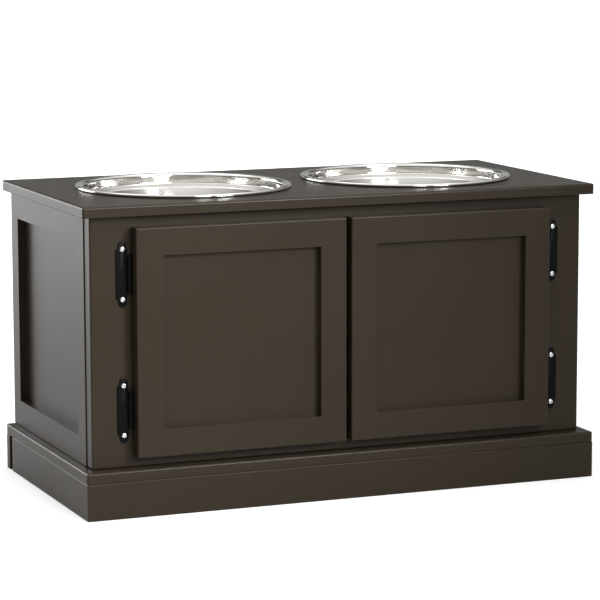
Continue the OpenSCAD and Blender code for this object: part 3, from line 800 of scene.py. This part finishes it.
def screw(screws, profile, top, span):
    """A screw down from a flat of radius top at z = 0 and on through the profile.

    The flat has a cross recess of that span."""
    mesh = bmesh.new()
    rim = circle(mesh, top, HEAD_STEPS, upright=False)
    half, reach = screws.slot_width / 2, span / 2
    corners = []
    for turn in range(4):
        quarter = Matrix.Rotation(math.radians(90 * turn), 3, "Z")
        for x, y in ((half, half), (half, reach), (-half, reach)):
            corners.append(mesh.verts.new(quarter @ Vector((x, y, 0))))
    cross = [mesh.edges.new((corners[i - 1], corners[i])) for i in range(len(corners))]
    bmesh.ops.triangle_fill(
        mesh, use_beauty=True, use_dissolve=False, edges=rim + cross, normal=(0, 0, 1)
    )
    narrowing = 0.55
    ring = draw_in(mesh, cross, narrowing, -screws.slot_depth)
    bmesh.ops.edgeloop_fill(mesh, edges=ring)
    was = top
    ring = rim
    for radius, z in profile:
        ring = draw_in(mesh, ring, radius / was, z)
        was = radius
    bmesh.ops.edgeloop_fill(mesh, edges=ring)
    tidy(mesh)
    return mesh


def draw_in(mesh, edges, scale, z):
    """Extrudes a level loop of edges, scaled about Z, to the height z and returns the new loop."""
    made = bmesh.ops.extrude_edge_only(mesh, edges=edges)["geom"]
    verts = [g for g in made if isinstance(g, bmesh.types.BMVert)]
    lines = [g for g in made if isinstance(g, bmesh.types.BMEdge)]
    bmesh.ops.scale(mesh, verts=verts, vec=(scale, scale, 1))
    for vert in verts:
        vert.co.z = z
    return [e for e in lines if all(v in verts for v in e.verts)]


def pan_screw(screws):
    """A screw whose domed head stands on z = 0."""
    r, h, shank = screws.pan, screws.pan_height, screws.pan_shank
    flat, span = r * 0.62, 3.4 * MM
    profile = [
        (r * 0.78, -0.14 * h), (r * 0.91, -0.32 * h), (r * 0.98, -0.55 * h), (r, -0.75 * h),
        (r, -h), (shank, -h), (shank, -h - screws.pan_length),
    ]
    mesh = screw(screws, profile, flat, span)
    shift(mesh, z=h)
    return mesh


def flush_screw(screws, head, shank, long):
    """A countersunk screw whose head is flush with z = 0."""
    flat, span = head - 0.25 * MM, min(1.06 * head, 4.2 * MM)
    profile = [
        (head - 0.08 * MM, -0.02 * MM), (head, -0.1 * MM), (shank, shank - head), (shank, -long)
    ]
    return screw(screws, profile, flat, span)


def nail(screws):
    """A nail whose head stands on z = 0."""
    r, h, shank = screws.nail, screws.nail_height, screws.nail_shank
    section = Section(0, h).run(r * 0.6, h * 0.96).run(r * 0.9, h * 0.75).run(r, h * 0.4)
    section.run(r, 0).run(shank, 0).run(shank, -screws.nail_length)
    return section.run(0, -screws.nail_length).turned(NAIL_STEPS)


def heading(x, y, z, axis, spin=0.0):
    """Place of a fastener whose head faces along axis."""
    turn = Vector(axis).to_track_quat("Z", "Y").to_matrix().to_4x4()
    return Matrix.Translation((x, y, z)) @ turn @ Matrix.Rotation(math.radians(spin), 4, "Z")


def drive(name, node, material, slot, places, make, *sizes):
    """Makes one fastener for each place, all as one piece that stands for a node."""
    mesh = bmesh.new()
    for place in places:
        add(mesh, make(*sizes), place)
    piece(name, mesh, body_of(node), material, node)


def spins():
    """Turns of the cross recesses, one after another, as a hand leaves them."""
    turn = 17.0
    while True:
        yield turn
        turn = (turn + 41.0) % 90


class FEEDER_OT_drive_frame_screws(Operator):
    """Drive the domed screws: two in each hinge leaf on the face frame and two in each catch"""

    bl_idname = "feeder.drive_frame_screws"
    bl_label = "Drive the domed screws"
    bl_options = {"REGISTER", "UNDO"}

    def execute(self, context):
        screws, hinge = context.scene.feeder_screw, context.scene.feeder_hinge
        catch_ear, from_front, from_end = 2.4 * MM, 7 * MM, 5 * MM
        turn = spins()
        places = []
        for side, sign in SIDES.items():
            for level in LEVELS:
                axis = middle(f"{side}_{level}_hinge_pin")
                x, y = axis.x + sign * hinge.ear_x, axis.y + hinge.stand - hinge.leaf
                for end in (-1, 1):
                    z = axis.z + end * hinge.ear_screw
                    places.append(heading(x, y, z, (0, -1, 0), next(turn)))
            low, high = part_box(side + "_catch_housing")
            y, z = low[1] + from_front, high[2] - catch_ear
            for x in (low[0] + from_end, high[0] - from_end):
                places.append(heading(x, y, z, (0, 0, -1), next(turn)))
        zinc = bright_zinc(context.scene.feeder_metal)
        drive("domed_screws", "frame_pan_screws", zinc, "bright_zinc", places, pan_screw, screws)
        return {"FINISHED"}


class FEEDER_OT_drive_door_screws(Operator):
    """Drive the small flush screws behind each door: two in each hinge leaf, one in the strike"""

    bl_idname = "feeder.drive_door_screws"
    bl_label = "Drive the door screws"
    bl_options = {"REGISTER", "UNDO"}

    def execute(self, context):
        screws, hinge = context.scene.feeder_screw, context.scene.feeder_hinge
        sizes = (screws.small, screws.small_shank, screws.small_length)
        plated = dull_plate(context.scene.feeder_metal)
        turn = spins()
        for side, sign in SIDES.items():
            places = []
            for level in LEVELS:
                axis = middle(f"{side}_{level}_hinge_pin")
                back = corner(f"{side}_{level}_hinge_door_leaf", True).y
                x = axis.x - sign * hinge.door_screw_x
                for end in (-1, 1):
                    z = axis.z + end * hinge.door_screw
                    places.append(heading(x, back, z, (0, 1, 0), next(turn)))
            strike = side + "_strike_plate"
            spot = middle(strike)
            back = corner(strike, True).y
            places.append(heading(spot.x, back, spot.z, (0, 1, 0), next(turn)))
            node = side + "_door_screws"
            slot = SLOT_OF[node]
            drive(node + "_made", node, plated, slot, places, flush_screw, screws, *sizes)
        return {"FINISHED"}


class FEEDER_OT_drive_cupboard_screws(Operator):
    """Drive the long screws: up through the base board and the battens, and out into the sides"""

    bl_idname = "feeder.drive_cupboard_screws"
    bl_label = "Drive the cupboard screws"
    bl_options = {"REGISTER", "UNDO"}

    def execute(self, context):
        screws = context.scene.feeder_screw
        turn = spins()
        places = []
        base_z, batten_z = corner("base_board").z, corner("left_batten").z
        side_x = -middle("left_side_bottom_rail").x
        face_y = middle("face_left_stile").y
        from_end = 50 * MM
        front = corner("left_side_front_stile").y + from_end
        back = corner("left_side_rear_stile", True).y - from_end
        outer_x = 30 * MM - corner("face_left_stile", True).x
        inner_x = 120 * MM
        batten = middle("left_batten")
        wall_x = -corner("left_batten", True).x
        up = (0, 0, -1)
        for sign in SIDES.values():
            for x, y in ((side_x, front), (side_x, back), (inner_x, face_y), (outer_x, face_y)):
                places.append(heading(sign * x, y, base_z, up, next(turn)))
            for y in (-70 * MM, 80 * MM):
                places.append(heading(sign * -batten.x, y, batten_z, up, next(turn)))
            for y in (-30 * MM, 110 * MM):
                places.append(heading(sign * wall_x, y, batten.z, (-sign, 0, 0), next(turn)))
        y = middle("back_batten").y
        for x in (-135 * MM, 0, 135 * MM):
            places.append(heading(x, y, batten_z, up, next(turn)))
        sizes = (screws.large, screws.large_shank, screws.large_length)
        node = "cupboard_screws"
        plated, slot = dull_plate(context.scene.feeder_metal), SLOT_OF[node]
        drive(node + "_made", node, plated, slot, places, flush_screw, screws, *sizes)
        return {"FINISHED"}


class FEEDER_OT_drive_nails(Operator):
    """Drive the nails that hold the back panel"""

    bl_idname = "feeder.drive_nails"
    bl_label = "Drive the nails"
    bl_options = {"REGISTER", "UNDO"}

    def execute(self, context):
        panel_x, y, panel_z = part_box("back_panel")[1]
        side_x = panel_x - 4 * MM
        from_end = 25 * MM
        low, high = corner("left_side_rear_stile").z + from_end, panel_z - from_end
        batten_z = middle("back_batten").z
        back = (0, 1, 0)
        places = []
        for sign in SIDES.values():
            for i in range(4):
                z = low + i * (high - low) / 3
                places.append(heading(sign * side_x, y, z, back))
            for x in (70 * MM, 200 * MM):
                places.append(heading(sign * x, y, batten_z, back))
        node = "back_panel_nails"
        plated, slot = dull_plate(context.scene.feeder_metal), SLOT_OF[node]
        drive("nails_made", node, plated, slot, places, nail, context.scene.feeder_screw)
        return {"FINISHED"}


# ---------------------------------------------------------------- finishes of the frame's own parts


class FEEDER_OT_paint_boards(Operator):
    """Lacquer every board of the top, plinth, face frame, sides, back and doors"""

    bl_idname = "feeder.paint_boards"
    bl_label = "Lacquer the boards"
    bl_options = {"REGISTER", "UNDO"}

    def execute(self, context):
        coat("paint", lacquer(context.scene.feeder_paint))
        return {"FINISHED"}


class FEEDER_OT_plane_battens(Operator):
    """Give the battens and the glue blocks planed wood, each with its grain along its length"""

    bl_idname = "feeder.plane_battens"
    bl_label = "Plane the battens"
    bl_options = {"REGISTER", "UNDO"}

    def execute(self, context):
        grains = {"back_batten": 0, "left_batten": 1, "right_batten": 1, "plinth_glue_blocks": 2}
        for along in set(grains.values()):
            coat("bare_wood", planed_wood(along), [n for n, a in grains.items() if a == along])
        return {"FINISHED"}


class FEEDER_OT_finish_catches(Operator):
    """Give the magnetic catches and their strike plates their plastic and their plated steel"""

    bl_idname = "feeder.finish_catches"
    bl_label = "Finish the catches"
    bl_options = {"REGISTER", "UNDO"}

    def execute(self, context):
        coat("catch_plastic", moulded_plastic())
        coat("plate_steel", dull_plate(context.scene.feeder_metal))
        return {"FINISHED"}


# ---------------------------------------------------------------- studio


def put(data, place):
    """Puts a lamp, a camera or a mesh in the scene."""
    made = bpy.data.objects.new(data.name, data)
    made.location = place
    made.rotation_mode = "QUATERNION"
    bpy.context.scene.collection.objects.link(made)
    return made


def lamp(name, place, aim, size, power, spread=180):
    """A rectangular soft box aimed at a point, with its beam's spread in degrees.

    The camera doesn't see it."""
    data = bpy.data.lights.new(name, "AREA")
    data.shape = "RECTANGLE"
    data.size, data.size_y = size
    data.energy = power
    data.spread = math.radians(spread)
    made = put(data, place)
    made.rotation_quaternion = (Vector(aim) - Vector(place)).to_track_quat("-Z", "Y")
    made.visible_camera = False


class FEEDER_OT_set_stage(Operator):
    """Lay the floor, set the camera, and hang the soft lights"""

    bl_idname = "feeder.set_stage"
    bl_label = "Set the stage"
    bl_options = {"REGISTER", "UNDO"}

    def execute(self, context):
        studio = context.scene.feeder_studio
        self.lay_floor(studio)
        self.set_camera(context, studio)
        self.hang_lights(studio)
        self.paint_sky(context)
        context.scene.view_settings.view_transform = "Standard"
        return {"FINISHED"}

    def lay_floor(self, studio):
        """Pale paper that the camera alone sees lifted towards white."""
        mesh = bmesh.new()
        bmesh.ops.create_circle(mesh, cap_ends=True, radius=26.0, segments=96)
        data = bpy.data.meshes.new("floor")
        mesh.to_mesh(data)
        mesh.free()
        paper = Finish(
            "floor paper", tuple(studio.floor), roughness=0.9, specular_ior_level=0.0,
            emission_strength=studio.lift,
        )
        grain = paper.noise(paper.place(), 40.0, 2.0)
        shade = paper.blend(grain, studio.floor, [0.985 * c for c in studio.floor])
        seen = paper.node("LightPath", output="Is Camera Ray")
        data.materials.append(paper.plug(base_color=shade, emission_color=seen).material)
        floor = put(data, (0, 0, 0))

    def set_camera(self, context, studio):
        data = bpy.data.cameras.new("camera")
        data.sensor_fit = "HORIZONTAL"
        data.sensor_width = 36.0
        data.lens = studio.lens
        data.clip_end = 100.0
        level, fall = math.cos(studio.pitch), math.sin(studio.pitch)
        sight = Vector((math.sin(studio.yaw) * level, math.cos(studio.yaw) * level, -fall))
        roll = Quaternion((0, 0, 1), studio.roll)
        camera = put(data, studio.camera)
        camera.rotation_quaternion = sight.to_track_quat("-Z", "Y") @ roll
        context.scene.camera = camera

    def hang_lights(self, studio):
        # Name, place, aim, width and height, strength, and spread of the beam
        lamp("overhead", (0.7, -0.3, 2.3), (0, 0, 0.2), (1.0, 0.8), studio.overhead, 90)
        lamp("behind", (1.0, 9.0, 5.0), (1.0, 9.0, 0), (12.0, 14.0), studio.back, 90)
        lamp("left", (-1.7, 2.4, 0.75), (-0.2, 0, 0.2), (1.8, 1.3), studio.left)
        lamp("front", (-0.1, -1.8, 0.95), (-0.38, -0.15, 0.33), (0.4, 0.8), studio.front, 48)
        lamp("right", (0.6, -1.7, 0.95), (-0.27, -0.15, 0.32), (0.4, 0.8), studio.right, 50)

    def paint_sky(self, context):
        """The room round the stage: pale overhead, with a dark band above the horizon.

        Under the band it is dark at the front left and paler at the back right."""
        front_left, back_right, band = (0.06, 1.1), (0.38, 0.8), 0.05
        world = bpy.data.worlds.new("room")
        world.use_nodes = True
        room = Tree(world.node_tree)
        way = room.node("TexCoord", output="Generated")
        height = room.node("SeparateXYZ", {}, {"Vector": way}, "Z")
        pair = {0: way, 1: (0.5, 0.5, 0)}
        share = room.node("VectorMath", {"operation": "DOT_PRODUCT"}, pair, "Value") + 0.5
        halves = [
            room.greys(height, [(0, low), (0.12, low), (0.30, band), (0.60, high), (1, high)])
            for low, high in (front_left, back_right)
        ]
        back = next(n for n in world.node_tree.nodes if n.type == "BACKGROUND")
        join(world.node_tree, room.blend(share, *halves), back.inputs["Color"])
        back.inputs["Strength"].default_value = 1.0
        context.scene.world = world


# ---------------------------------------------------------------- panel and registration

SETTINGS = {
    "feeder_paint": PaintSettings,
    "feeder_metal": MetalSettings,
    "feeder_bowl": BowlSettings,
    "feeder_hinge": HingeSettings,
    "feeder_screw": ScrewSettings,
    "feeder_studio": StudioSettings,
}

STEPS = (
    FEEDER_OT_set_stage,
    FEEDER_OT_paint_boards,
    FEEDER_OT_plane_battens,
    FEEDER_OT_finish_catches,
    FEEDER_OT_spin_bowls,
    FEEDER_OT_fit_hinges,
    FEEDER_OT_drive_frame_screws,
    FEEDER_OT_drive_door_screws,
    FEEDER_OT_drive_cupboard_screws,
    FEEDER_OT_drive_nails,
)


class FEEDER_PT_steps(Panel):
    """The steps that make the feeding cupboard, in order"""

    bl_idname = "FEEDER_PT_steps"
    bl_label = "Raised Feeding Cupboard"
    bl_space_type = "VIEW_3D"
    bl_region_type = "UI"
    bl_category = "Feeder"

    def draw(self, context):
        column = self.layout.column(align=True)
        for step in STEPS:
            column.operator(step.bl_idname, text=step.bl_label)


CLASSES = (*SETTINGS.values(), *STEPS, FEEDER_PT_steps)


def register():
    for entry in CLASSES:
        bpy.utils.register_class(entry)
    for name, group in SETTINGS.items():
        setattr(bpy.types.Scene, name, PointerProperty(type=group))


def unregister():
    for name in SETTINGS:
        delattr(bpy.types.Scene, name)
    for entry in reversed(CLASSES):
        bpy.utils.unregister_class(entry)


def main():
    """Registers the add-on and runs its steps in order."""
    register()
    for step in STEPS:
        group, name = step.bl_idname.split(".")
        getattr(getattr(bpy.ops, group), name)()
    bpy.context.view_layer.update()


if __name__ == "__main__":
    main()
